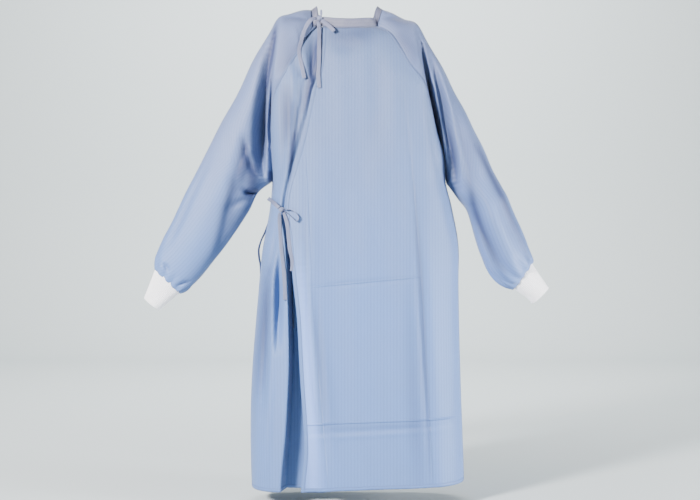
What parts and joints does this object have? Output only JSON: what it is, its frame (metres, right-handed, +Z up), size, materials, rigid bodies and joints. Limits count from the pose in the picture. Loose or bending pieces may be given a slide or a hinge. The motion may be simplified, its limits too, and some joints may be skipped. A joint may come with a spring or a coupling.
{
  "type": "surgical gown",
  "caption": "Hollow wrap-over surgical gown with raglan sleeves, knitted cuffs, a neckband and tape ties at neck and waist.",
  "frame": {"origin": "middle of the neck opening at shoulder height, where the gown is held", "axes": "+Z up, +X towards the wearer's right side, -Y out of the wearer's back, where the panels overlap"},
  "size_m": [1.0511, 0.2346, 1.2467],
  "materials": {
    "gown_cloth": "woven, finely striped, slight sheen",
    "cuff_knit": "ribbed knit, matt",
    "tape": "woven tape, matt"
  },
  "bodies": {
    "root": {"front_panel": "gown_cloth", "back_overlap": "gown_cloth", "back_underlap": "gown_cloth", "sleeve_left": "gown_cloth", "sleeve_right": "gown_cloth", "cuff_left": "cuff_knit", "cuff_right": "cuff_knit", "neckband": "tape", "neck_knot": "tape", "neck_tie_long": "tape", "neck_tie_short": "tape", "neck_loop": "tape", "waist_knot": "tape", "waist_tie_long": "tape", "waist_tie_short": "tape", "waist_loop_right": "tape", "waist_loop_left": "tape", "side_loop": "tape"}
  },
  "joints": []
}
